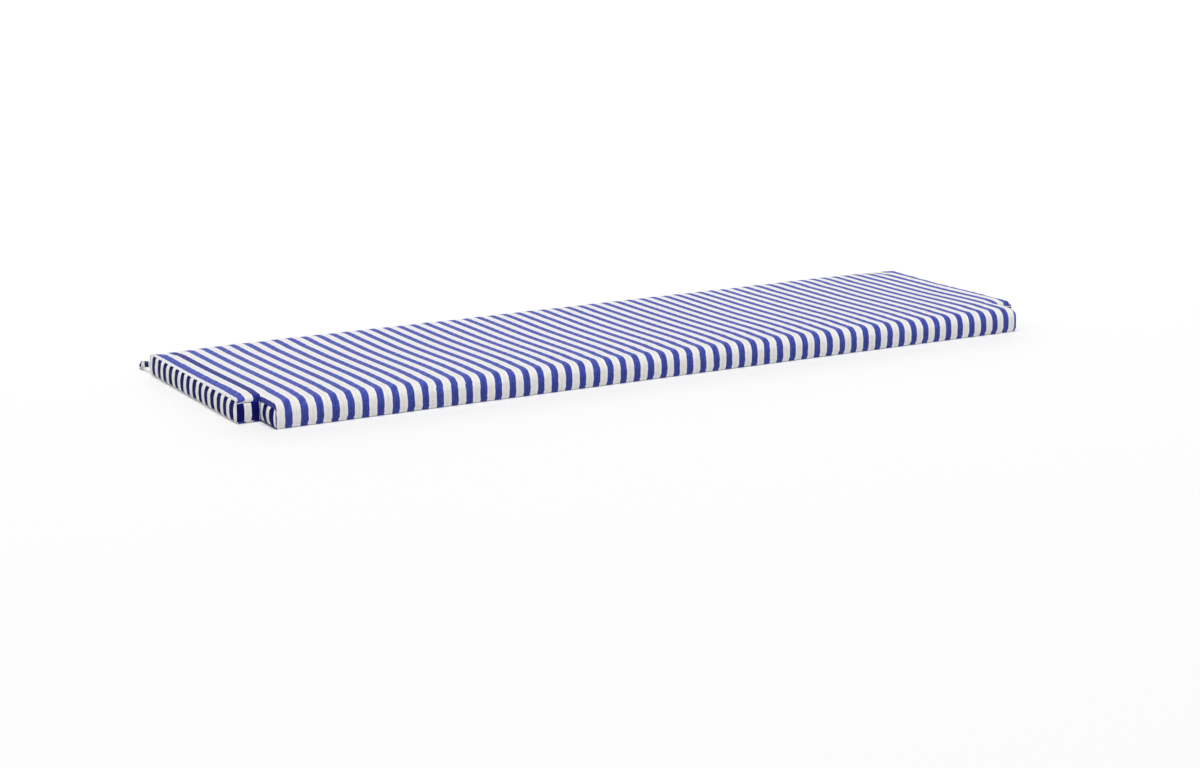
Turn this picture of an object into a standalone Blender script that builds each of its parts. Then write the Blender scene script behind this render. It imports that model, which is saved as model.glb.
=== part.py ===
"""Boxed bench cushion with cut front corners and a pair of flat ties at each back corner.

Axes: X along the cushion, Y from front to back, Z up.
Origin: the middle of the underside, on the surface that it lies on.
"""

import math

import bmesh
import bpy
from mathutils import Vector

MM = 0.001
TINY = 0.01

# Cushion, in mm
LENGTH = 1500.0
DEPTH = 440.0
EDGE_HEIGHT = 40.0
CROWN_RISE = 3.0
CROWN_REACH = 150.0
NOTCH_LENGTH = 38.0
NOTCH_DEPTH = 60.0
DRAW_IN = 2.0
UNDERSIDE_LIFT = 1.5
UNDERSIDE_REACH = 4.0
CORNER_REACH = 25.0
CUTTER_MARGIN = 20.0
SEAM_CREASE = 0.7

# How each side meets the top: height of its upper seam, how far in the top rolls, how far it bulges
SIDES = {
    "front": {"seam": 28.0, "reach": 14.0, "bulge": 2.0},
    "back": {"seam": 32.0, "reach": 30.0, "bulge": 2.0},
    "end": {"seam": 33.0, "reach": 24.0, "bulge": 5.0},
    "notch": {"seam": 33.0, "reach": 20.0, "bulge": 2.0},
}

# Cuts of the cushion's cage, in mm in from an edge or up from the surface
EDGE_CUTS = (4.0, 12.0, 26.0)
NOTCH_CUT = 6.0
LENGTH_CUTS = (100.0, 185.0, 280.0, 375.0, 470.0, 565.0, 660.0)
DEPTH_CUTS = (115.0, 170.0, 225.0, 280.0, 335.0, 385.0)
WALL_CUTS = (6.0, 20.0, 34.0)

# Ties, in mm
TIE_WIDTH = 10.0
TIE_THICKNESS = 2.4
TIE_STEP = 9.0
TIE_EDGE_ROUNDING = 2
TIE_TWIST_FROM = 25.0
TIE_TWIST_TO = 95.0

# Each tie's route from its seam to its free end
TIES = {
    "tie_left_outer": (
        (-745.5, 221.1, 16.0),
        (-746.5, 230.5, 15.5),
        (-749.0, 244.5, 13.5),
        (-750.5, 259.0, 11.0),
        (-747.5, 273.5, 8.5),
        (-737.5, 285.5, 5.5),
        (-719.5, 294.0, 2.8),
        (-693.0, 297.5, 1.8),
        (-659.0, 296.5, 1.6),
        (-623.0, 290.5, 1.6),
        (-587.0, 289.0, 1.6),
        (-553.0, 294.5, 1.6),
    ),
    "tie_left_inner": (
        (-705.0, 221.8, 18.0),
        (-705.5, 231.5, 18.0),
        (-708.0, 244.5, 16.0),
        (-710.0, 258.5, 12.0),
        (-705.0, 271.5, 7.0),
        (-690.0, 279.0, 3.2),
        (-664.0, 277.5, 1.8),
        (-632.0, 268.5, 1.6),
        (-598.0, 260.5, 1.6),
        (-562.0, 262.5, 1.6),
        (-528.0, 270.5, 1.6),
        (-497.0, 273.5, 1.6),
    ),
    "tie_right_outer": (
        (745.5, 221.1, 18.0),
        (746.5, 230.5, 18.0),
        (749.0, 244.5, 16.0),
        (751.0, 259.0, 12.0),
        (750.0, 273.5, 7.5),
        (743.0, 287.0, 4.0),
        (729.0, 297.5, 2.2),
        (706.0, 303.0, 1.7),
        (674.0, 303.5, 1.6),
        (640.0, 298.5, 1.6),
        (605.0, 295.0, 1.6),
        (571.0, 298.5, 1.6),
        (550.0, 304.0, 1.6),
    ),
    "tie_right_inner": (
        (705.0, 221.8, 18.0),
        (705.0, 231.0, 18.0),
        (702.5, 244.5, 16.0),
        (696.5, 257.0, 12.0),
        (686.0, 267.5, 7.5),
        (670.0, 274.5, 3.4),
        (648.0, 275.5, 1.8),
        (616.0, 269.5, 1.6),
        (581.0, 262.5, 1.6),
        (546.0, 262.0, 1.6),
        (512.0, 268.5, 1.6),
        (480.0, 276.0, 1.6),
    ),
}


def clear_scene():
    for old in list(bpy.data.objects):
        bpy.data.objects.remove(old, do_unlink=True)


def collection(name):
    made = bpy.data.collections.new(name)
    bpy.context.scene.collection.children.link(made)
    return made


def fabric(name, colour, roughness):
    material = bpy.data.materials.new(name)
    material.use_nodes = True
    surface = material.node_tree.nodes["Principled BSDF"]
    surface.inputs["Base Color"].default_value = (*colour, 1.0)
    surface.inputs["Roughness"].default_value = roughness
    surface.inputs["Metallic"].default_value = 0.0
    return material


def move_to(piece, home):
    for old in list(piece.users_collection):
        old.objects.unlink(piece)
    home.objects.link(piece)


def box(name, low, high, home):
    """A box between two corners, in mm, with its scale applied."""
    bpy.ops.mesh.primitive_cube_add(size=1.0)
    made = bpy.context.object
    made.name = name
    for corner in made.data.vertices:
        for axis in range(3):
            middle = (low[axis] + high[axis]) / 2
            corner.co[axis] = (middle + corner.co[axis] * (high[axis] - low[axis])) * MM
    move_to(made, home)
    return made


def notched_block(home, cutters):
    """The cushion's plain block with its two front corners cut away."""
    half_length = LENGTH / 2
    half_depth = DEPTH / 2
    block = box(
        "cushion",
        (-half_length, -half_depth, 0.0),
        (half_length, half_depth, EDGE_HEIGHT),
        home,
    )
    for side in (-1, 1):
        inner = side * (half_length - NOTCH_LENGTH)
        outer = side * (half_length + CUTTER_MARGIN)
        cutter = box(
            "notch_cutter",
            (min(inner, outer), -half_depth - CUTTER_MARGIN, -CUTTER_MARGIN),
            (max(inner, outer), -half_depth + NOTCH_DEPTH, EDGE_HEIGHT + CUTTER_MARGIN),
            cutters,
        )
        cutter.hide_render = True
        cutter.display_type = "WIRE"
        cut = block.modifiers.new("notch", "BOOLEAN")
        cut.operation = "DIFFERENCE"
        cut.object = cutter
    bpy.context.view_layer.update()
    ready = block.evaluated_get(bpy.context.evaluated_depsgraph_get())
    block_mesh = bpy.data.meshes.new_from_object(ready)
    block.modifiers.clear()
    block.data = block_mesh
    for cutter in list(cutters.objects):
        bpy.data.objects.remove(cutter, do_unlink=True)
    return block


def cage_planes():
    """The planes that cut the block into a cage: (axis, place in mm)."""
    half_length = LENGTH / 2
    half_depth = DEPTH / 2
    notch_side = half_length - NOTCH_LENGTH
    notch_back = -half_depth + NOTCH_DEPTH
    for inset in EDGE_CUTS + LENGTH_CUTS + (NOTCH_LENGTH - NOTCH_CUT, NOTCH_LENGTH + NOTCH_CUT):
        yield 0, -half_length + inset
        yield 0, half_length - inset
    yield 0, -notch_side
    yield 0, notch_side
    yield 0, 0.0
    for inset in EDGE_CUTS:
        yield 1, -half_depth + inset
        yield 1, half_depth - inset
    for place in (notch_back - NOTCH_CUT, notch_back, notch_back + NOTCH_CUT):
        yield 1, place
    for inset in DEPTH_CUTS:
        yield 1, -half_depth + inset
    for height in WALL_CUTS:
        yield 2, height


def cut_cage(mesh):
    for axis, place in cage_planes():
        normal = Vector((0.0, 0.0, 0.0))
        normal[axis] = 1.0
        bmesh.ops.bisect_plane(
            mesh,
            geom=mesh.verts[:] + mesh.edges[:] + mesh.faces[:],
            dist=1e-6,
            plane_co=normal * place * MM,
            plane_no=normal,
        )


def rolled(side, inset):
    """Height of the top at this inset from a side, before the crown."""
    shape = SIDES[side]
    away = 1.0 - min(inset / shape["reach"], 1.0)
    return shape["seam"] + (EDGE_HEIGHT - shape["seam"]) * math.sqrt(1.0 - away * away)


def insets(x, y):
    """Distance from each side of the plan: the outer edges and the cut corner."""
    from_notch = math.hypot(
        max(LENGTH / 2 - NOTCH_LENGTH - abs(x), 0.0),
        max(y + DEPTH / 2 - NOTCH_DEPTH, 0.0),
    )
    return {
        "end": LENGTH / 2 - abs(x),
        "front": DEPTH / 2 + y,
        "back": DEPTH / 2 - y,
        "notch": from_notch,
    }


def top_height(x, y):
    away = insets(x, y)
    edge = min(rolled(side, inset) for side, inset in away.items())
    reach = min(min(away.values()) / CROWN_REACH, 1.0)
    return edge + CROWN_RISE * math.sin(reach * math.pi / 2)


def underside_height(x, y):
    near = 1.0 - min(min(insets(x, y).values()) / UNDERSIDE_REACH, 1.0)
    return UNDERSIDE_LIFT * near * near


def bulged(side, level, along):
    """How far a side stands out at this level (0 to 1), dying out towards its corners."""
    fade = min(along / CORNER_REACH, 1.0)
    return SIDES[side]["bulge"] * 4.0 * level * (1.0 - level) * math.sin(fade * math.pi / 2)


def shaped(x, y, z):
    """Where a point of the plain block lies on the filled cushion."""
    level = z / EDGE_HEIGHT
    away = insets(x, y)
    bottom = underside_height(x, y)
    height = bottom + (top_height(x, y) - bottom) * level
    hand = math.copysign(1.0, x)
    in_notch = y < -DEPTH / 2 + NOTCH_DEPTH + TINY
    out_x = 0.0
    out_y = 0.0
    if away["end"] < TINY:
        out_x = hand * bulged("end", level, min(y + DEPTH / 2 - NOTCH_DEPTH, away["back"]))
    elif away["notch"] < TINY and in_notch and abs(x) < LENGTH / 2 - NOTCH_LENGTH + TINY:
        out_x = hand * bulged("notch", level, min(away["front"], NOTCH_DEPTH - away["front"]))
    if away["front"] < TINY:
        out_y = -bulged("front", level, LENGTH / 2 - NOTCH_LENGTH - abs(x))
    elif away["back"] < TINY:
        out_y = bulged("back", level, away["end"])
    elif away["notch"] < TINY and y > -DEPTH / 2 + NOTCH_DEPTH - TINY:
        out_y = -bulged("notch", level, min(away["end"], NOTCH_LENGTH - away["end"]))
    drawn = 1.0 - DRAW_IN / (DEPTH / 2) * (1.0 - (2.0 * x / LENGTH) ** 2)
    return Vector((x + out_x, (y + out_y) * drawn, height))


def crease_seams(mesh):
    """Sharpens the sewn seams: all upper and lower edges but the front, where the cloth rolls over."""
    crease = mesh.edges.layers.float.new("crease_edge")
    for edge in mesh.edges:
        ends = [corner.co / MM for corner in edge.verts]
        on_face = all(abs(p.z) < TINY or abs(p.z - EDGE_HEIGHT) < TINY for p in ends)
        level = abs(ends[0].z - ends[1].z) < TINY
        away = [insets(p.x, p.y) for p in ends]
        sewn = all(min(near["end"], near["back"], near["notch"]) < TINY for near in away)
        if on_face and level and sewn:
            edge[crease] = SEAM_CREASE


def make_cushion(home, cutters, cloth):
    cushion = notched_block(home, cutters)
    mesh = bmesh.new()
    mesh.from_mesh(cushion.data)
    cut_cage(mesh)
    crease_seams(mesh)
    for corner in mesh.verts:
        corner.co = shaped(*(corner.co / MM)) * MM
    bmesh.ops.recalc_face_normals(mesh, faces=mesh.faces[:])
    mesh.to_mesh(cushion.data)
    mesh.free()
    cushion.data.materials.clear()
    cushion.data.materials.append(cloth)
    smooth = cushion.modifiers.new("smooth", "SUBSURF")
    smooth.levels = 1
    smooth.render_levels = 1
    cushion.data.shade_smooth()
    return cushion


def smooth_route(knots, step):
    """Points about one step apart on a smooth curve through the knots."""
    points = [Vector(knot) for knot in knots]
    before = points[0] * 2 - points[1]
    after = points[-1] * 2 - points[-2]
    padded = [before, *points, after]
    route = []
    for a, b, c, d in zip(padded, padded[1:], padded[2:], padded[3:]):
        count = max(1, round((c - b).length / step))
        for index in range(count):
            t = index / count
            route.append(
                0.5
                * (
                    2 * b
                    + (c - a) * t
                    + (2 * a - 5 * b + 4 * c - d) * t * t
                    + (3 * b - a - 3 * c + d) * t * t * t
                )
            )
    route.append(points[-1])
    return route


def flatness(run):
    """How far the strip has turned from on edge (0) to flat (1) after this much of its run."""
    part = min(max((run - TIE_TWIST_FROM) / (TIE_TWIST_TO - TIE_TWIST_FROM), 0.0), 1.0)
    return part * part * (3.0 - 2.0 * part)


def make_tie(name, knots, home, cloth):
    """A flat strip that leaves its seam on edge, turns to lie flat and ends free."""
    route = smooth_route(knots, TIE_STEP)
    curve = bpy.data.curves.new(name, "CURVE")
    curve.dimensions = "3D"
    curve.twist_mode = "Z_UP"
    curve.extrude = (TIE_WIDTH - TIE_THICKNESS) / 2 * MM
    curve.bevel_depth = TIE_THICKNESS / 2 * MM
    curve.bevel_resolution = TIE_EDGE_ROUNDING
    curve.use_fill_caps = True
    spline = curve.splines.new("POLY")
    spline.points.add(len(route) - 1)
    run = 0.0
    for index, place in enumerate(route):
        if index:
            run += (place - route[index - 1]).length
        spline.points[index].co = (*(place * MM), 1.0)
        spline.points[index].tilt = math.pi / 2 * flatness(run)
    curve.materials.append(cloth)
    tie = bpy.data.objects.new(name, curve)
    home.objects.link(tie)
    print(f"{name}: {run:.0f} mm long")
    return tie


def main():
    clear_scene()
    home = collection("bench_cushion")
    cutters = collection("cutters")
    striped = fabric("striped_canvas", (0.55, 0.57, 0.75), 0.9)
    tie_cloth = fabric("tie_canvas", (0.30, 0.32, 0.60), 0.9)
    make_cushion(home, cutters, striped)
    for name, knots in TIES.items():
        make_tie(name, knots, home, tie_cloth)


main()
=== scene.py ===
import math

import bmesh
import bpy
from mathutils import Euler, Matrix, Vector, noise


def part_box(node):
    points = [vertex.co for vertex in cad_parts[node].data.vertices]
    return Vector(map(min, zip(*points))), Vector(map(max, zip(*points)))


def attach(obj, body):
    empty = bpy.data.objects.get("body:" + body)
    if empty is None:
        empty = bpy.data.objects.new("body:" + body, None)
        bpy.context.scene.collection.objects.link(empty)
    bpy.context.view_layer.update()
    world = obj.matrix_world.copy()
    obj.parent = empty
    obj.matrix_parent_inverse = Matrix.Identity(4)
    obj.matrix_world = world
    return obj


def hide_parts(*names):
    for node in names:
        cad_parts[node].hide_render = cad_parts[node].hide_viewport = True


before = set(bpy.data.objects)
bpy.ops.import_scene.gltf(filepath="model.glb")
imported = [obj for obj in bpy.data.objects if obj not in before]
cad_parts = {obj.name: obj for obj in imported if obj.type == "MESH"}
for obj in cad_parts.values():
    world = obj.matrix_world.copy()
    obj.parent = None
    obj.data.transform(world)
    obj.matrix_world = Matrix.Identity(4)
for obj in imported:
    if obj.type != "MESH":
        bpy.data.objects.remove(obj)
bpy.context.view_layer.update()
mm = 0.001

cameraSetup = {
    "lens": 72.2,  # mm
    "sensor": 36.0,  # mm wide
    "place": (-2049.9, -3491.9, 904.9),  # mm
    "turn": 30.155,  # degrees to the right of straight on
    "dip": 13.377,  # degrees below level
    "roll": 0.117,  # degrees
}


def placeCamera():
    made = bpy.data.objects.new("camera", bpy.data.cameras.new("camera"))
    bpy.context.collection.objects.link(made)
    made.data.lens = cameraSetup["lens"]
    made.data.sensor_width = cameraSetup["sensor"]
    level = Euler((math.radians(90 - cameraSetup["dip"]), 0, math.radians(-cameraSetup["turn"]))).to_matrix()
    roll = Matrix.Rotation(math.radians(cameraSetup["roll"]), 3, "Z")
    made.matrix_world = (level @ roll).to_4x4()
    made.location = Vector(cameraSetup["place"]) * mm
    bpy.context.scene.camera = made
    print("camera placed")


placeCamera()


# sRGB hex to a linear colour
def linearColour(code):
    parts = [int(code[place : place + 2], 16) / 255 for place in (1, 3, 5)]
    return (*[c / 12.92 if c <= 0.04045 else ((c + 0.055) / 1.055) ** 2.4 for c in parts], 1.0)


def newMaterial(name):
    made = bpy.data.materials.new(name)
    made.use_nodes = True
    return made, made.node_tree.nodes["Principled BSDF"]


# A node with its settings (a word alone is its operation) and its inputs, by order and then by name:
# each is a number, a colour or another node's output. It gives back the node's outputs
def addNode(material, kind, settings=None, *inputs, **named):
    node = material.node_tree.nodes.new("ShaderNode" + kind)
    if isinstance(settings, str):
        settings = {"operation": settings}
    for setting, value in (settings or {}).items():
        setattr(node, setting, value)
    for key, value in [*enumerate(inputs), *named.items()]:
        if isinstance(value, bpy.types.NodeSocket):
            material.node_tree.links.new(value, node.inputs[key])
        elif value is not None:
            node.inputs[key].default_value = value
    return node.outputs


cloth = {
    "repeat": 25.53,  # mm from one blue stripe to the next
    "blueAt": -690.8,  # mm, the middle of a blue stripe on the cushion's own X
    "sideBlueAt": 199.0,  # mm, the same on the end panels' own Y
    "sideRepeat": 26.3,  # mm, the repeat there, where the strip was pulled taut as it was sewn
    "tieBlueAt": 19.5,  # mm from a tie's seam to the middle of its first blue
    "white": "#f0eeeb",
    "deepStripe": -1,  # counted from the one at blueAt: this stripe's blue is drawn a darker navy
    "deepBlue": "#1a2188",
    "yarn": 1.06,  # mm between yarns: 0.5 on the real cloth, drawn coarser so that it shows
    "yarnTone": 0.1,  # share of light and dark where yarns cross
    "yarnRelief": 0.13,  # mm
    "ribs": {6: 0.025, 2: 0.035},  # heavier warp yarns in each repeat, and how much darker
    "ribRelief": 3.0,  # mm for each whole share of dark
    "toneInWhite": 0.9,  # how strongly the unevenness below shows
    "toneInBlue": 2.5,
    "wander": 0.22,  # mm that a stripe's edge strays
    "edge": 60.0,  # how sharply blue meets white
    "weftFlecks": 1.8,  # how unevenly the weft shows, how much of it, and what is held back
    "weftShare": 0.55,
    "weftHidden": 0.12,
    "paintedLitFrom": -234.0,  # mm along the cloth: down the front the blue is plain, on top it is painted paler, a painted highlight of the light that falls there
    "paintedLitTo": -210.0,
    "roughness": 0.68,
    "ior": 1.46,
    "bloomRoughness": 0.35,
}
# Each cut of cloth: its blue, the paler blue where the weft shows between the warp yarns, the paler blue
# painted where it lies on top as a painted highlight, the share of its stripes, its bloom and its gloss
cuts = {
    "panel": {
        "blue": "#29348f",
        "weftBlue": "#6a7ee2",
        "paintedLitBlue": "#3a48aa",
        "blueShare": 0.475,
        "bloom": 0.26,
        "bloomTint": "#b4c0ff",
        "gloss": 0.3,
    },
    # The end strips: the panel's canvas in a darker navy, painted shade standing for the shade on the ends
    "boxing": {
        "blue": "#0e115e",
        "weftBlue": "#1b1f6c",
        "blueShare": 0.54,
        "bloom": 0.02,
        "bloomTint": "#c8ceff",
        "gloss": 0.06,
    },
}
# Unevenness of the yarn: size across and along the stripes in mm, detail, share of light and dark, and relief
# in mm
clothPatterns = {
    "streaks": (1.9, 60.0, 3.0, 0.17, 0.30),
    "bars": (70.0, 2.1, 2.0, 0.10, 0.22),
    "patches": (17.0, 8.0, 2.0, 0.08, 0.0),
    "flecks": (3.4, 3.0, 2.0, 0.12, 0.12),
    "wide": (140.0, 140.0, 3.0, 0.05, 0.0),
}
# Faint slanting bars, where the loom's pull changed as the cloth was woven
slantBars = {
    "pitch": 13.9,  # mm: far finer on the real cloth, drawn this coarse so that they show
    "inBlue": 0.18,  # share of light and dark
    "stray": 9.0,  # mm that a bar strays
    "sway": 0.16,  # mm that it moves a stripe's edge
    "frontFrom": -200.0,  # mm along the cloth: from here to the next it fades over the rolled front
    "frontTo": -226.0,
    "onFront": 0.3,
}
stitching = {
    "row": 3.3,  # mm from the tie's middle
    "pitch": 3.4,  # mm from stitch to stitch
    "gap": 0.28,  # share of the pitch where the thread is under the cloth
    "thread": 0.55,  # mm wide
    "relief": 0.25,  # mm
    "colour": "#e3e1dc",
}
# The mix node's colours come after its numbers and vectors, which are passed over
colourMix = {"data_type": "RGBA"}
passedOver = (None,) * 5
clamped = {"operation": "MULTIPLY_ADD", "use_clamp": True}


# Acrylic canvas, dyed in the yarn and plainly woven: matt and faintly ribbed, each yarn a little lighter or
# darker than the next, with a soft bloom where it is seen edge on
def weaveCanvas(name, cut, blueAt, deepStripe=None, sewn=False):
    made, surface = newMaterial(name)
    place = addNode(made, "UVMap", {"uv_map": "cloth"})[0]
    across, along = addNode(made, "SeparateXYZ", None, place)[:2]
    patterns = {}
    for pattern, (acrossSize, alongSize, detail, *shares) in clothPatterns.items():
        stretched = addNode(made, "Mapping", None, place, Scale=(1000 / acrossSize, 1000 / alongSize, 1.0))[0]
        noiseNode = addNode(made, "TexNoise", {"noise_dimensions": "2D"}, stretched, Scale=1.0, Detail=detail)
        patterns[pattern] = addNode(made, "Math", "SUBTRACT", noiseNode[0], 0.5)[0]

    # The slanting bars, fainter down the front
    slant = addNode(made, "Math", "SUBTRACT", across, along)[0]
    slant = addNode(made, "Math", "MULTIPLY_ADD", patterns["patches"], slantBars["stray"] * mm, slant)[0]
    perMetre = 2 * math.pi / (slantBars["pitch"] * math.sqrt(2) * mm)
    slant = addNode(made, "Math", "MULTIPLY", slant, perMetre)[0]
    diagonal = addNode(made, "Math", "SINE", slant)[0]
    front, top = slantBars["frontTo"] * mm, slantBars["frontFrom"] * mm
    fading = addNode(made, "MapRange", None, along, front, top, slantBars["onFront"], 1.0)[0]

    # The stripes, with edges that stray by a fraction of a millimetre
    strayed = addNode(made, "Math", "MULTIPLY_ADD", patterns["patches"], 3 * cloth["wander"] * mm, across)[0]
    strayed = addNode(made, "Math", "MULTIPLY_ADD", diagonal, slantBars["sway"] * mm, strayed)[0]
    start = 0.5 - blueAt / cloth["repeat"]
    turns = addNode(made, "Math", "MULTIPLY_ADD", strayed, 1000 / cloth["repeat"], start)[0]
    part = addNode(made, "Math", "FRACT", turns)[0]
    fromMiddle = addNode(made, "Math", "ABSOLUTE", addNode(made, "Math", "SUBTRACT", part, 0.5)[0])[0]
    inside = addNode(made, "Math", "SUBTRACT", cut["blueShare"] / 2, fromMiddle)[0]
    isBlue = addNode(made, "Math", clamped, inside, cloth["edge"], 0.5)[0]

    # Warp over weft and weft over warp, and the heavier yarns
    yarns = []
    for run in (across, along):
        angle = addNode(made, "Math", "MULTIPLY", run, 2 * math.pi / (cloth["yarn"] * mm))[0]
        yarns.append(addNode(made, "Math", "SINE", angle)[0])
    weave = addNode(made, "Math", "MULTIPLY", *yarns)[0]
    ribs = 0.0
    for count, share in cloth["ribs"].items():
        angle = addNode(made, "Math", "MULTIPLY", turns, 2 * math.pi * count)[0]
        rib = addNode(made, "Math", "COSINE", angle)[0]
        ribs = addNode(made, "Math", "MULTIPLY_ADD", rib, -share, ribs)[0]

    # Light and dark: stronger in the blue than in the white
    tone = addNode(made, "Math", "MULTIPLY_ADD", weave, cloth["yarnTone"], ribs)[0]
    height = addNode(made, "Math", "MULTIPLY", weave, cloth["yarnRelief"] * mm)[0]
    height = addNode(made, "Math", "MULTIPLY_ADD", ribs, cloth["ribRelief"] * mm, height)[0]
    for pattern, (*sizes, share, relief) in clothPatterns.items():
        tone = addNode(made, "Math", "MULTIPLY_ADD", patterns[pattern], share, tone)[0]
        if relief:
            height = addNode(made, "Math", "MULTIPLY_ADD", patterns[pattern], relief * mm, height)[0]
    extra = cloth["toneInBlue"] - cloth["toneInWhite"]
    strength = addNode(made, "Math", "MULTIPLY_ADD", isBlue, extra, cloth["toneInWhite"])[0]
    tone = addNode(made, "Math", "MULTIPLY_ADD", tone, strength, 1.0)[0]
    strength = addNode(made, "Math", "MULTIPLY", isBlue, slantBars["inBlue"])[0]
    strength = addNode(made, "Math", "MULTIPLY", strength, fading)[0]
    tone = addNode(made, "Math", "MULTIPLY_ADD", diagonal, strength, tone)[0]

    # Pale weft shows through the blue in flecks
    peeking = addNode(made, "Math", "MULTIPLY_ADD", patterns["flecks"], cloth["weftFlecks"], weave)[0]
    showing = addNode(made, "Math", clamped, peeking, cloth["weftShare"], -cloth["weftHidden"])[0]
    blue = linearColour(cut["blue"])
    # Painted highlight: the blue turns paler from the rolled front onto the top, standing for the light that
    # falls there
    if "paintedLitBlue" in cut:
        litFrom, old = cloth["paintedLitFrom"] * mm, cloth["paintedLitTo"] * mm
        paintedLight = addNode(made, "MapRange", None, along, litFrom, old, 0.0, 1.0)[0]
        litBlue = linearColour(cut["paintedLitBlue"])
        blue = addNode(made, "Mix", colourMix, paintedLight, *passedOver, blue, litBlue)[2]
    weft = linearColour(cut["weftBlue"])
    blue = addNode(made, "Mix", colourMix, showing, *passedOver, blue, weft)[2]
    if deepStripe is not None:
        count = addNode(made, "Math", "FLOOR", turns)[0]
        isDeep = addNode(made, "Math", "COMPARE", count, float(deepStripe), 0.1)[0]
        deep = linearColour(cloth["deepBlue"])
        blue = addNode(made, "Mix", colourMix, isDeep, *passedOver, blue, deep)[2]
    white = linearColour(cloth["white"])
    stripes = addNode(made, "Mix", colourMix, isBlue, *passedOver, white, blue)[2]
    toned = addNode(made, "VectorMath", "SCALE", stripes, Scale=tone)[0]

    # The row of stitches along a tie
    if sewn:
        fromRow = addNode(made, "Math", "SUBTRACT", along, stitching["row"] * mm)[0]
        fromRow = addNode(made, "Math", "ABSOLUTE", fromRow)[0]
        onRow = addNode(made, "Math", "LESS_THAN", fromRow, stitching["thread"] / 2 * mm)[0]
        step = addNode(made, "Math", "MULTIPLY", across, 1 / (stitching["pitch"] * mm))[0]
        step = addNode(made, "Math", "FRACT", step)[0]
        onStitch = addNode(made, "Math", "GREATER_THAN", step, stitching["gap"])[0]
        thread = addNode(made, "Math", "MULTIPLY", onRow, onStitch)[0]
        colour = linearColour(stitching["colour"])
        toned = addNode(made, "Mix", colourMix, thread, *passedOver, toned, colour)[2]
        height = addNode(made, "Math", "MULTIPLY_ADD", thread, stitching["relief"] * mm, height)[0]

    bump = addNode(made, "Bump", None, Height=height, Strength=1.0, Distance=1.0)[0]
    made.node_tree.links.new(toned, surface.inputs["Base Color"])
    made.node_tree.links.new(bump, surface.inputs["Normal"])
    surface.inputs["Roughness"].default_value = cloth["roughness"]
    surface.inputs["IOR"].default_value = cloth["ior"]
    surface.inputs["Specular IOR Level"].default_value = cut["gloss"]
    surface.inputs["Sheen Weight"].default_value = cut["bloom"]
    surface.inputs["Sheen Roughness"].default_value = cloth["bloomRoughness"]
    surface.inputs["Sheen Tint"].default_value = linearColour(cut["bloomTint"])
    return made


# The wide panel over top and front: royal blue, painted paler on top as a painted highlight of the light that
# falls there
stripedCanvas = weaveCanvas("stripedAcrylicCanvas", cuts["panel"], cloth["blueAt"], cloth["deepStripe"])
# The strips round the ends: the same canvas in a darker navy, which is painted shade, and quite matt
shadedBoxingCanvas = weaveCanvas("shadedBoxingAcrylicCanvas", cuts["boxing"], cloth["blueAt"])
# The ties: the end strips' darker navy, painted shade there, folded and sewn with pale thread
tieCanvas = weaveCanvas("tieAcrylicCanvas", cuts["boxing"], cloth["tieBlueAt"], sewn=True)
print("materials made")

tieSetup = {
    "width": 10.0,  # mm
    "thickness": 2.4,
    "ring": 3.0,  # mm from one ring of the mesh to the next
    "twistFrom": 25.0,  # mm of run, where it starts to turn from on edge to flat
    "twistTo": 95.0,
    "hem": 8.0,  # mm, the turned-in end
    "hemFrom": 1.5,  # mm over which the strip thickens to it
    "hemThicker": 0.25,  # share
    "sewnIn": 3.0,  # mm of it inside the cushion's seam
}

# Each tie's route from its seam to its free end, in mm
tieRoutes = {
    "tieLeftOuter": (
        (-745.5, 221.1, 16.0),
        (-746.5, 230.5, 15.5),
        (-749.0, 244.5, 13.5),
        (-750.5, 259.0, 11.0),
        (-747.5, 273.5, 8.5),
        (-737.5, 285.5, 5.5),
        (-719.5, 294.0, 2.8),
        (-693.0, 297.5, 1.8),
        (-659.0, 296.5, 1.6),
        (-623.0, 290.5, 1.6),
        (-587.0, 289.0, 1.6),
        (-553.0, 294.5, 1.6),
    ),
    "tieLeftInner": (
        (-705.0, 221.8, 18.0),
        (-705.5, 231.5, 18.0),
        (-708.0, 244.5, 16.0),
        (-710.0, 258.5, 12.0),
        (-705.0, 271.5, 7.0),
        (-690.0, 279.0, 3.2),
        (-664.0, 277.5, 1.8),
        (-632.0, 268.5, 1.6),
        (-598.0, 260.5, 1.6),
        (-562.0, 262.5, 1.6),
        (-528.0, 270.5, 1.6),
        (-497.0, 273.5, 1.6),
    ),
    "tieRightOuter": (
        (745.5, 221.1, 18.0),
        (746.5, 230.5, 18.0),
        (749.0, 244.5, 16.0),
        (751.0, 259.0, 12.0),
        (750.0, 273.5, 7.5),
        (743.0, 287.0, 4.0),
        (729.0, 297.5, 2.2),
        (706.0, 303.0, 1.7),
        (674.0, 303.5, 1.6),
        (640.0, 298.5, 1.6),
        (605.0, 295.0, 1.6),
        (571.0, 298.5, 1.6),
        (550.0, 304.0, 1.6),
    ),
    "tieRightInner": (
        (705.0, 221.8, 18.0),
        (705.0, 231.0, 18.0),
        (702.5, 244.5, 16.0),
        (696.5, 257.0, 12.0),
        (686.0, 267.5, 7.5),
        (670.0, 274.5, 3.4),
        (648.0, 275.5, 1.8),
        (616.0, 269.5, 1.6),
        (581.0, 262.5, 1.6),
        (546.0, 262.0, 1.6),
        (512.0, 268.5, 1.6),
        (480.0, 276.0, 1.6),
    ),
}

tieNodes = {
    "tieLeftOuter": "tie_left_outer",
    "tieLeftInner": "tie_left_inner",
    "tieRightOuter": "tie_right_outer",
    "tieRightInner": "tie_right_inner",
}

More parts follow.
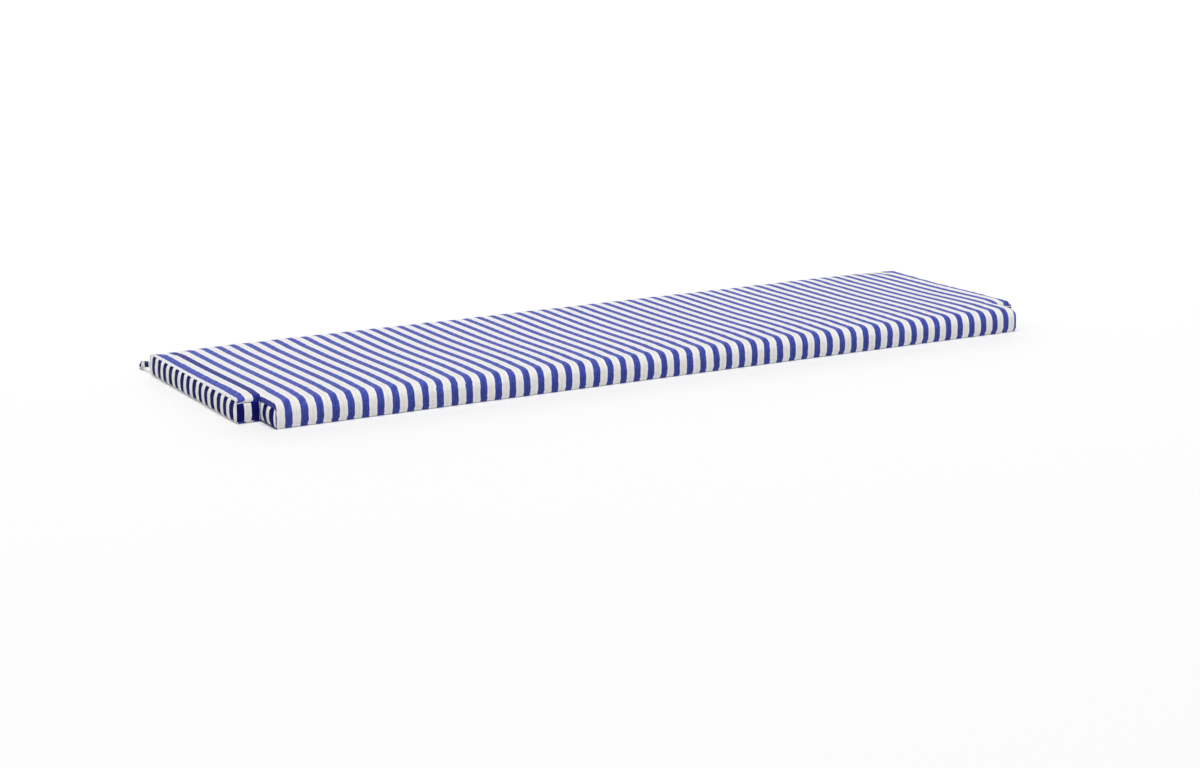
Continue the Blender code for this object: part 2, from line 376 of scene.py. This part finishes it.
# The strip's section as shares of half its width and half its thickness: a fold on one edge,
# two turned-in edges sewn together on the other, and the sewing line beside them
tieSection = (
    (-1.0, 0.0),
    (-0.97, 0.6),
    (-0.85, 0.95),
    (-0.4, 1.0),
    (0.2, 1.0),
    (0.55, 0.95),
    (0.66, 0.55),
    (0.77, 0.95),
    (0.93, 0.85),
    (1.0, 0.45),
    (0.93, 0.0),
    (1.0, -0.45),
    (0.93, -0.85),
    (0.77, -0.95),
    (0.66, -0.55),
    (0.55, -0.95),
    (0.2, -1.0),
    (-0.4, -1.0),
    (-0.85, -0.95),
    (-0.97, -0.6),
)


# Points about one step apart on a smooth curve through the knots
def smoothRoute(knots, step):
    points = [Vector(knot) for knot in knots]
    padded = [points[0] * 2 - points[1], *points, points[-1] * 2 - points[-2]]
    route = []
    for a, b, c, d in zip(padded, padded[1:], padded[2:], padded[3:]):
        count = max(1, round((c - b).length / step))
        for index in range(count):
            t = index / count
            slope = (c - a) * t
            bend = (2 * a - 5 * b + 4 * c - d) * t * t
            sweep = (3 * b - a - 3 * c + d) * t**3
            route.append(0.5 * (2 * b + slope + bend + sweep))
    route.append(points[-1])
    return route


# A folded and sewn strip that leaves its seam on edge and turns to lie flat
def makeTie(name, knots):
    route = smoothRoute(knots, tieSetup["ring"])
    mesh = bmesh.new()
    clothMap = mesh.loops.layers.uv.new("cloth")
    rings = []
    runs = [0.0]
    for before, after in zip(route, route[1:]):
        runs.append(runs[-1] + (after - before).length)
    twistFrom, twistTo = tieSetup["twistFrom"], tieSetup["twistTo"]
    for index, place in enumerate(route):
        ahead = (route[min(index + 1, len(route) - 1)] - route[max(index - 1, 0)]).normalized()
        part = min(max((runs[index] - twistFrom) / (twistTo - twistFrom), 0), 1)
        turn = math.pi / 2 * part * part * (3 - 2 * part)
        level = ahead.cross(Vector((0, 0, 1))).normalized()
        upright = level.cross(ahead)
        across = upright * math.cos(turn) + level * math.sin(turn)
        out = across.cross(ahead)
        fromEnd = runs[-1] - runs[index]
        hemmed = min(max((tieSetup["hem"] - fromEnd) / tieSetup["hemFrom"], 0), 1)
        full = 1.0 + tieSetup["hemThicker"] * hemmed
        if index == 0:
            place = place - ahead * tieSetup["sewnIn"]
        ring = []
        for a, t in tieSection:
            offset = across * (a * tieSetup["width"] / 2) + out * (t * tieSetup["thickness"] / 2 * full)
            ring.append(mesh.verts.new((place + offset) * mm))
        rings.append(ring)
    count = len(tieSection)
    for index in range(len(rings) - 1):
        here, beyond = rings[index], rings[index + 1]
        for k in range(count):
            beside = (k + 1) % count
            face = mesh.faces.new((here[k], here[beside], beyond[beside], beyond[k]))
            face.smooth = True
            start, end = runs[index], runs[index + 1]
            for loop, (run, side) in zip(face.loops, ((start, k), (start, k + 1), (end, k + 1), (end, k))):
                reach = tieSection[side % count][0] * tieSetup["width"] / 2
                loop[clothMap].uv = (run * mm, reach * mm)
    for ring, run in ((rings[0], runs[0]), (list(reversed(rings[-1])), runs[-1])):
        face = mesh.faces.new(ring)
        for loop in face.loops:
            loop[clothMap].uv = (run * mm, 0.0)
    bmesh.ops.recalc_face_normals(mesh, faces=mesh.faces[:])
    data = bpy.data.meshes.new(name)
    mesh.to_mesh(data)
    mesh.free()
    data.materials.append(tieCanvas)
    made = bpy.data.objects.new(name, data)
    bpy.context.collection.objects.link(made)
    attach(made, "root")
    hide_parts(tieNodes[name])


for tieName, tieKnots in tieRoutes.items():
    makeTie(tieName, tieKnots)
print("ties made")

cushion = {
    "full": 42.6,  # mm, the filled height along the front
    "slack": 3.6,  # mm, how much lower it is from the middle to the back
    "slackFrom": -205.0,  # mm, between these the height falls away
    "slackTo": 90.0,
    "notchLength": 38.0,  # mm
    "notchDepth": 60.0,
    "turnAllowance": 4.5,  # mm of the boxing strip taken up in turning the notch's outer corner
    "boxing": 28.0,  # mm of cloth between the seams
    "drawIn": 2.0,  # mm at the middle of the long sides
    "cornerReach": 25.0,  # mm from a corner over which the bulge of a side grows
    "notchCorner": 0.4,  # share of that in a notch
    "seamSink": 1.3,  # mm that the thread pulls the seams in
    "underPull": 2.0,  # mm that the lower edge is rolled under
    "underReach": 12.0,  # mm in from the edge over which it is
    "underLift": 1.1,  # mm that the edge is off the floor
    "underLiftReach": 3.0,
    "standOut": {"end": 4.2, "back": 1.5},  # mm that the sides' bulges add to the frame's box
}
# The small cells that the cover's mesh is cut into
cells = {
    "along": 12.0,  # mm on the top
    "across": 4.6,
    "roll": 5,  # rows over a rolled edge
    "endFrom": 12.0,  # mm in from the end, where the even cells beside the notch start
    "endShort": 4.0,  # mm short of the notch's side, where they stop
    "endStep": 5.5,
    "notchShort": 2.5,  # mm short of the notch's back, where the cells behind the front stop
    "levels": (-1, 0.0, 0.05, 0.18, 0.38, 0.62, 0.82, 0.95, 1.0),  # up a side; the underside is at -1
    "wideFromNotch": 24,  # mm: further in than these the underside has wide cells
    "wideFromSide": 32,
    "wideSpan": 8,  # small cells to a wide one
}
# Each side in mm: the height of its lower and upper seam, how far in the top rolls, how far the side and the
# rolled lip above its seam stand out, and how far its foot is drawn under
sides = {
    "front": {"lower": 5.5, "upper": 27.5, "reach": 16.0, "bulge": 1.3, "lip": 0.0, "tuck": 0.0},
    "back": {"lower": 3.0, "upper": 32.0, "reach": 30.0, "bulge": 2.0, "lip": 0.5, "tuck": 0.0},
    "end": {"lower": 3.0, "upper": 34.5, "reach": 6.5, "bulge": 2.4, "lip": 0.5, "tuck": -1.0},
    "notch": {"lower": 3.0, "upper": 31.0, "reach": 8.0, "bulge": 3.2, "lip": 0.4, "tuck": 0.0},
}
# How the sewing drags the end panels' stripes at the upper seam
hook = {
    "shift": 1.8,  # mm
    "from": 0.72,  # share of the panel's height
    "spacing": 33.0,  # mm between one pull and the next
    "seed": 3.7,
}
low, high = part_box("cushion")
halfLength = round((high[0] - low[0]) / 2 / mm - cushion["standOut"]["end"])
halfDepth = round((high[1] - low[1]) / 2 / mm - cushion["standOut"]["back"])
notchSide = halfLength - cushion["notchLength"]
notchBack = cushion["notchDepth"] - halfDepth
tiny = 0.01  # mm


def smoothStep(value, start, end):
    part = min(max((value - start) / (end - start), 0.0), 1.0)
    return part * part * (3 - 2 * part)


def rollCuts(reach):
    count = cells["roll"]
    return [reach * (1 - math.cos(math.pi / 2 * k / count)) for k in range(count + 1)]


def spread(start, end, step):
    count = max(1, round(abs(end - start) / step))
    return [start + (end - start) * k / count for k in range(count + 1)]


# The places along and across the cushion where its mesh is cut, closest at the rolled edges
def patternCuts():
    fromEnd = rollCuts(sides["end"]["reach"])
    fromEnd += spread(cells["endFrom"], cushion["notchLength"] - cells["endShort"], cells["endStep"])
    fromEnd += [cushion["notchLength"] + cut for cut in rollCuts(sides["notch"]["reach"])]
    middle = spread(halfLength - fromEnd[-1], 0.0, cells["along"])[1:]
    right = [halfLength - cut for cut in fromEnd] + middle
    lengthwise = sorted({round(x, 4) for x in right} | {round(-x, 4) for x in right})
    fromFront = rollCuts(sides["front"]["reach"])
    fromFront += spread(fromFront[-1], cushion["notchDepth"] - cells["notchShort"], cells["across"])[1:]
    fromFront += [cushion["notchDepth"] + cut for cut in rollCuts(sides["notch"]["reach"])]
    back = [2 * halfDepth - cut for cut in rollCuts(sides["back"]["reach"])]
    fromFront += spread(fromFront[-1], back[-1], cells["across"])[1:] + back
    return lengthwise, sorted({round(cut - halfDepth, 4) for cut in fromFront})


# For each side, the distance in from it and the way in
def nearSides(x, y):
    hand = math.copysign(1.0, x)
    dx = max(notchSide - abs(x), 0.0)
    dy = max(y - notchBack, 0.0)
    if dx or dy:
        wayIn = Vector((-hand * dx, dy)).normalized()
    else:
        inX = -hand if abs(x) < notchSide + tiny else 0.0
        inY = 1.0 if y > notchBack - tiny else 0.0
        wayIn = Vector((inX, inY)).normalized()
    return {
        "end": (halfLength - abs(x), Vector((-hand, 0.0))),
        "front": (halfDepth + y, Vector((0.0, 1.0))),
        "back": (halfDepth - y, Vector((0.0, -1.0))),
        "notch": (math.hypot(dx, dy), wayIn),
    }


# How far the cloth runs over a side's roll, from its inner end to this inset, in mm
def rollRun(side, inset, full, steps=8):
    reach = sides[side]["reach"]
    drop = full - sides[side]["upper"]
    step = math.asin(min(max(1 - inset / reach, 0.0), 1.0)) / steps
    angles = [step * (k + 0.5) for k in range(steps)]
    return sum(math.hypot(reach * math.cos(angle), drop * math.sin(angle)) * step for angle in angles)


# Distance along a side to its nearest corner
def toCorner(side, x, y):
    if side == "front":
        return notchSide - abs(x)
    if side == "back":
        return halfLength - abs(x)
    if side == "end":
        return min(y - notchBack, halfDepth - y)
    if y > notchBack - tiny:
        return min(halfLength - abs(x), abs(x) - notchSide)
    return min(halfDepth + y, notchBack - y)


# Height of the filled top at this place from front to back, in mm
def filledLevel(y):
    return cushion["full"] - cushion["slack"] * smoothStep(y, cushion["slackFrom"], cushion["slackTo"])


# Where a point of the cut cloth lies once sewn and filled, in mm. Level runs from 0 at the lower seam to 1 at
# the upper one; the underside is at -1
def sewnShape(x, y, level):
    near = nearSides(x, y)
    shift = Vector((0.0, 0.0))
    nearest = min(inset for inset, wayIn in near.values())
    if level < 0:
        for side, (inset, wayIn) in near.items():
            pull = cushion["underPull"] + sides[side]["tuck"]
            shift += wayIn * pull * max(1 - inset / cushion["underReach"], 0.0) ** 2
        height = cushion["underLift"] * max(1 - nearest / cushion["underLiftReach"], 0.0) ** 2
    else:
        full = filledLevel(y)
        tops = []
        lower = 0.0
        for side, (inset, wayIn) in near.items():
            shape = sides[side]
            away = 1 - min(inset / shape["reach"], 1.0)
            risen = math.sqrt(1 - away * away)
            tops.append(shape["upper"] + (full - shape["upper"]) * risen)
            if level == 1 and inset < shape["reach"]:
                shift -= wayIn * shape["lip"] * math.sin(math.pi * risen)
            if inset < tiny:
                lower = max(lower, shape["lower"])
                reach = cushion["cornerReach"] * (cushion["notchCorner"] if side == "notch" else 1.0)
                fade = math.sin(min(max(toCorner(side, x, y), 0.0) / reach, 1.0) * math.pi / 2)
                outward = shape["bulge"] * 4 * level * (1 - level) * fade
                shift -= wayIn * (outward - shape["tuck"] * (1 - level) ** 2)
                if level == 0 or (level == 1 and side != "front"):
                    shift += wayIn * cushion["seamSink"]
        height = lower + (min(tops) - lower) * level
    drawn = 1 - cushion["drawIn"] / halfDepth * (1 - (x / halfLength) ** 2)
    return Vector((x + shift.x, (y + shift.y) * drawn, height))


# Where a point lies on its cut panel, in mm: stripes cross the first number
def clothPlace(panel, x, y, level):
    rise = level * cushion["boxing"]
    around = (y - cloth["sideBlueAt"]) * cloth["repeat"] / cloth["sideRepeat"] + cloth["blueAt"]
    if panel == "front":
        return x, rise - cushion["boxing"] - halfDepth
    if panel == "back":
        return x, halfDepth + cushion["boxing"] - rise
    if panel == "end":
        spot = Vector((y / hook["spacing"], hook["seed"], x / halfLength))
        drag = hook["shift"] * (1 + noise.noise(spot))
        return around + drag * smoothStep(level, hook["from"], 1.0), rise
    if panel == "notchFront":
        return around - (halfLength - abs(x)) - cushion["turnAllowance"], rise
    if panel == "notchSide":
        return around - cushion["notchLength"], rise
    side, border = ("end", halfLength) if y > notchBack else ("notch", notchSide)
    flat = border - sides[side]["reach"]
    if panel == "top" and abs(x) > flat:
        return math.copysign(flat + rollRun(side, border - abs(x), filledLevel(y)), x), y
    return x, y


# The cover's panels as one closed mesh, with each point's place on the cut cloth as its UV map
def cutCover():
    lengthwise, crosswise = patternCuts()
    levels = cells["levels"]
    top = len(levels) - 1
    mesh = bmesh.new()
    clothMap = mesh.loops.layers.uv.new("cloth")
    corners = {}

    def panelFace(panel, keys):
        for i, j, k in keys:
            if (i, j, k) not in corners:
                corners[i, j, k] = mesh.verts.new(sewnShape(lengthwise[i], crosswise[j], levels[k]) * mm)
        face = mesh.faces.new([corners[key] for key in keys])
        face.smooth = True
        face.material_index = 1 if panel in ("end", "notchFront", "notchSide") else 0
        for loop, (i, j, k) in zip(face.loops, keys):
            loop[clothMap].uv = Vector(clothPlace(panel, lengthwise[i], crosswise[j], levels[k])) * mm

    def inPlan(i, j):
        if not (0 <= i < len(lengthwise) - 1 and 0 <= j < len(crosswise) - 1):
            return False
        betweenNotches = abs(lengthwise[i] + lengthwise[i + 1]) < 2 * notchSide
        return betweenNotches or crosswise[j] + crosswise[j + 1] > 2 * notchBack

    # The flat middle of the underside takes wide cells; its border keeps the small ones
    wideX = [i for i, x in enumerate(lengthwise) if abs(x) < notchSide - cells["wideFromNotch"]]
    wideY = [j for j, y in enumerate(crosswise) if abs(y) < halfDepth - cells["wideFromSide"]]
    columns = [*wideX[: -1 : cells["wideSpan"]], wideX[-1]]
    rows = [*wideY[: -1 : cells["wideSpan"]], wideY[-1]]
    for left, right in zip(columns, columns[1:]):
        for near, far in zip(rows, rows[1:]):
            west = range(near, far, 1 if left == columns[0] else far - near)
            north = range(left, right, 1 if far == rows[-1] else right - left)
            east = range(far, near, -1 if right == columns[-1] else near - far)
            south = range(right, left, -1 if near == rows[0] else left - right)
            ring = [(left, j, 0) for j in west] + [(i, far, 0) for i in north]
            ring += [(right, j, 0) for j in east] + [(i, near, 0) for i in south]
            panelFace("under", ring)
    for i in range(len(lengthwise) - 1):
        for j in range(len(crosswise) - 1):
            if not inPlan(i, j):
                continue
            panelFace("top", ((i, j, top), (i + 1, j, top), (i + 1, j + 1, top), (i, j + 1, top)))
            if not (wideX[0] <= i < wideX[-1] and wideY[0] <= j < wideY[-1]):
                panelFace("under", ((i, j, 0), (i, j + 1, 0), (i + 1, j + 1, 0), (i + 1, j, 0)))
            beyondNotch = crosswise[j] > notchBack - tiny
            for di, dj, a, b, panel in (
                (-1, 0, (i, j + 1), (i, j), "end" if beyondNotch else "notchSide"),
                (1, 0, (i + 1, j), (i + 1, j + 1), "end" if beyondNotch else "notchSide"),
                (0, -1, (i, j), (i + 1, j), "notchFront" if beyondNotch else "front"),
                (0, 1, (i + 1, j + 1), (i, j + 1), "back"),
            ):
                if inPlan(i + di, j + dj):
                    continue
                for k in range(top):
                    panelFace(panel if k else "under", ((*a, k), (*b, k), (*b, k + 1), (*a, k + 1)))
    data = bpy.data.meshes.new("cushionCover")
    mesh.to_mesh(data)
    mesh.free()
    data.materials.append(stripedCanvas)
    data.materials.append(shadedBoxingCanvas)
    made = bpy.data.objects.new("cushionCover", data)
    bpy.context.collection.objects.link(made)
    print("cover cut,", len(data.polygons), "cells")
    return made


filling = {
    "pressure": 1.5,
    "foam": (0.07, 0.14),  # how firmly the foam holds the cloth, beside a seam and in the middle
    "foamReach": (30.0, 90.0),  # mm from a side, between the two
    "frontFirm": 1.5,  # how much firmer it is along the front
    "frontReach": (25.0, 60.0),  # mm from the front, where that dies out
    "carried": (0.12, 1.5),  # least and most cloth that one point answers for, in cells
    "feet": 5.0,  # mm, the cloth below this stays where it is
    "seams": (30.0, 35.0),  # mm, and so does the cloth at the upper seams, between these heights
    "ease": 0.06,  # how much fuller the cloth is cut than its seams
    "easeReach": 45.0,
    "weight": 0.3,
    "stretch": 15.0,
    "shear": 5.0,
    "bend": 0.1,
    "quality": 5,
    "limit": 1.6,  # mm that a point may move
    "frames": 20,
}


# How firmly each point is held: fully along the seams, else by the foam and by the cloth that it answers for
def holdCover(cover):
    held = cover.vertex_groups.new(name="held")
    eased = cover.vertex_groups.new(name="eased")
    # Pressure acts on an area and a hold on a point, so each point's hold follows the cloth that it carries
    wholeCell = cells["along"] * cells["across"] * mm * mm
    carried = [0.0] * len(cover.data.vertices)
    for cell in cover.data.polygons:
        for index in cell.vertices:
            carried[index] += cell.area / len(cell.vertices) / wholeCell
    soft, firm = filling["foam"]
    feet = filling["feet"]
    seamFrom, seamTo = filling["seams"]
    for corner in cover.data.vertices:
        x, y, z = corner.co / mm
        near = nearSides(min(max(x, -halfLength), halfLength), min(max(y, -halfDepth), halfDepth))
        inset = min(near[side][0] for side in ("end", "back", "notch"))
        sewn = inset < cushion["seamSink"] + tiny and (z < feet or seamFrom < z < seamTo)
        hold = soft + (firm - soft) * smoothStep(inset, *filling["foamReach"])
        inFront = 1 - smoothStep(near["front"][0], *filling["frontReach"])
        hold += (firm * filling["frontFirm"] - hold) * inFront
        least, most = filling["carried"]
        hold *= min(max(carried[corner.index], least), most)
        held.add([corner.index], 1.0 if z < feet or sewn else hold, "REPLACE")
        eased.add([corner.index], 1 - smoothStep(inset, 0.0, filling["easeReach"]), "REPLACE")


# Cloth simulation: the cover swells against its foam and puckers along its seams
def fillCover(cover):
    holdCover(cover)
    before = [corner.co.copy() for corner in cover.data.vertices]
    blown = cover.modifiers.new("filling", "CLOTH")
    filled = blown.settings
    filled.quality = filling["quality"]
    filled.mass = filling["weight"]
    filled.tension_stiffness = filled.compression_stiffness = filling["stretch"]
    filled.shear_stiffness = filling["shear"]
    filled.bending_stiffness = filling["bend"]
    filled.use_pressure = True
    filled.uniform_pressure_force = filling["pressure"]
    filled.effector_weights.gravity = 0
    filled.vertex_group_mass = "held"
    filled.vertex_group_shrink = "eased"
    filled.shrink_min = 0.0
    filled.shrink_max = -filling["ease"]
    blown.point_cache.frame_start = 1
    blown.point_cache.frame_end = filling["frames"]
    for frameNumber in range(1, filling["frames"] + 1):
        bpy.context.scene.frame_set(frameNumber)
    after = cover.evaluated_get(bpy.context.evaluated_depsgraph_get()).data
    places = [corner.co.copy() for corner in after.vertices]
    cover.modifiers.remove(blown)
    for corner, old, new in zip(cover.data.vertices, before, places):
        move = new - old
        if move.length > filling["limit"] * mm:
            move *= filling["limit"] * mm / move.length
        corner.co = old + move
    bpy.context.scene.frame_set(1)
    cover.vertex_groups.clear()
    print("cover filled")


# One subdivision, applied, so that the folds that follow are moves of its points
def smoothCover(cover):
    smooth = cover.modifiers.new("smooth", "SUBSURF")
    smooth.levels = smooth.render_levels = 1
    ready = cover.evaluated_get(bpy.context.evaluated_depsgraph_get())
    old = cover.data
    cover.data = bpy.data.meshes.new_from_object(ready)
    cover.modifiers.clear()
    bpy.data.meshes.remove(old)
    cover.data.name = "cushionCover"


# Each kind of fold: mm of the move, mm from one to the next along the seam or side, and how much of a step
# away from it counts
folds = {
    "pleats": (0.55, 17.0, 0.3),  # short pleats beside the end seams
    "sidePleats": (0.5, 14.0, 0.5),  # the same on the end panels
    "frontDents": (0.8, 27.0, 0.5),  # upright dents in the front
    "frontRoll": (0.4, 70.0, 1.0),  # unevenness along the front's rolled edge
    "wide": (0.7, 170.0, 1.0),  # broad unevenness of the foam
    "lean": (1.2, 48.0, 0.6),  # how the cloth is pulled sideways
}
foldNoise = {"seed": 17.3, "gain": 1.6}
# Where the folds grow and fade again, in mm in from a side, or up from the floor
foldReach = {
    "wide": (5.0, 40.0),
    "endPleats": ((1.0, 6.0), (8.0, 34.0)),
    "backPleats": ((1.0, 8.0), (10.0, 34.0)),
    "roll": (6.0, 40.0),
    "sidePleats": ((3.0, 8.0), (26.0, 31.0)),
    "sideSeams": (3.0, 31.0),
    "sideMiddle": (4.0, 12.0),
    "dents": ((4.0, 10.0), (16.0, 30.0)),
    "rollUp": (18.0, 30.0),
    "foot": (3.0, 16.0),
    "floor": 1.5,  # nothing moves below it
}
# The share taken off the end panels' pleats between their seams, and off the front's dents higher up
foldCalm = {"side": 0.7, "front": 0.6}
# The front's lower edge: how much closer its scallops are than the roll's unevenness, and mm to a row of
# their own in its noise
scallops = {"closer": 1.7, "row": 40.0}


def wave(kind, along, away):
    size, spacing, counted = folds[kind]
    seed = foldNoise["seed"] * (1 + list(folds).index(kind))
    spot = Vector((along / spacing, away * counted / spacing, seed))
    return size * noise.noise(spot) * foldNoise["gain"]


# 1 between the two reaches, 0 outside them
def between(value, grows, fades):
    return smoothStep(value, *grows) * (1 - smoothStep(value, *fades))


def topFolds(x, y, z, near):
    nearest = min(inset for inset, wayIn in near.values())
    out = wave("wide", x, y) * smoothStep(nearest, *foldReach["wide"])
    if y > notchBack:
        out += wave("pleats", y, x) * between(near["end"][0], *foldReach["endPleats"])
    out += wave("frontRoll", x, z) * (1 - smoothStep(near["front"][0], *foldReach["roll"]))
    out += wave("pleats", x, y) * between(near["back"][0], *foldReach["backPleats"])
    return out


# Pleats, dents and slack that the sewing and use leave in the cloth
def foldCover(cover):
    normals = [corner.normal.copy() for corner in cover.data.vertices]
    for corner, normal in zip(cover.data.vertices, normals):
        x, y, z = corner.co / mm
        if z < foldReach["floor"]:
            continue
        move = Vector((0.0, 0.0, 0.0))
        if normal.z > 0.5:
            near = nearSides(min(max(x, -halfLength), halfLength), min(max(y, -halfDepth), halfDepth))
            move += normal * topFolds(x, y, z, near)
        elif abs(normal.x) > 0.5:
            lowSeam, highSeam = foldReach["sideSeams"]
            mid = between(z, *foldReach["sidePleats"])
            fromSeam = min(z - lowSeam, highSeam - z)
            calm = 1 - foldCalm["side"] * smoothStep(fromSeam, *foldReach["sideMiddle"])
            move += normal * wave("sidePleats", y, z) * mid * calm
            move.y += wave("lean", y, z) * mid
        else:
            grows, fades = foldReach["dents"]
            rise = smoothStep(z, *grows)
            calm = 1 - foldCalm["front"] * smoothStep(z, *fades)
            move += normal * (wave("frontDents", x, z) * rise * calm)
            move += normal * wave("frontRoll", x, z) * smoothStep(z, *foldReach["rollUp"])
            move.x += wave("lean", x, z) * rise
            scallop = wave("frontRoll", x * scallops["closer"], scallops["row"])
            move.z += scallop * (1 - smoothStep(z, *foldReach["foot"]))
        corner.co += move * mm
    print("folds and dents made")


def makeCushion():
    cover = cutCover()
    fillCover(cover)
    smoothCover(cover)
    foldCover(cover)
    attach(cover, "root")
    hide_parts("cushion")


makeCushion()
print("cushion made")

studio = {
    "floor": "#ececec",
    "floorRoughness": 0.8,
    "floorGloss": 0.1,
    "floorHalf": 30,  # m
    "sky": "#ffffff",
    "skyStrength": 0.31,
    "overhead": {"angle": 40.0, "energy": 2.6, "aim": (0.2, 0.3, -1.0)},  # degrees that it spans
    # A wide soft panel low behind, in metres and watts, which the top's yarns catch at a low angle
    "backPanel": {"size": (18.2, 6.2), "energy": 507.0, "place": (3.1, 9.4, 3.4)},
}


# Matt painted board: even, pale and almost without gloss
def makeFloor():
    board, surface = newMaterial("mattPaintedBoard")
    surface.inputs["Base Color"].default_value = linearColour(studio["floor"])
    surface.inputs["Roughness"].default_value = studio["floorRoughness"]
    surface.inputs["Specular IOR Level"].default_value = studio["floorGloss"]
    half = studio["floorHalf"]
    plane = bpy.data.meshes.new("floor")
    corners = [(-half, -half, 0), (half, -half, 0), (half, half, 0), (-half, half, 0)]
    plane.from_pydata(corners, [], [(0, 1, 2, 3)])
    plane.materials.append(board)
    floor = bpy.data.objects.new("floor", plane)
    bpy.context.collection.objects.link(floor)


def placeLamp(light, aim):
    lamp = bpy.data.objects.new(light.name, light)
    bpy.context.collection.objects.link(lamp)
    lamp.rotation_euler = Vector(aim).to_track_quat("-Z", "Y").to_euler()
    return lamp


def makeStudio():
    makeFloor()
    world = bpy.data.worlds.new("studio")
    world.use_nodes = True
    sky = world.node_tree.nodes["Background"]
    sky.inputs["Color"].default_value = linearColour(studio["sky"])
    sky.inputs["Strength"].default_value = studio["skyStrength"]
    bpy.context.scene.world = world
    overhead = bpy.data.lights.new("overhead", "SUN")
    overhead.angle = math.radians(studio["overhead"]["angle"])
    overhead.energy = studio["overhead"]["energy"]
    placeLamp(overhead, studio["overhead"]["aim"])
    panel = bpy.data.lights.new("backPanel", "AREA")
    panel.shape = "RECTANGLE"
    panel.size, panel.size_y = studio["backPanel"]["size"]
    panel.energy = studio["backPanel"]["energy"]
    place = Vector(studio["backPanel"]["place"])
    lamp = placeLamp(panel, -place)
    lamp.location = place
    lamp.visible_camera = False
    bpy.context.scene.view_settings.view_transform = "Standard"


makeStudio()
print("studio made")
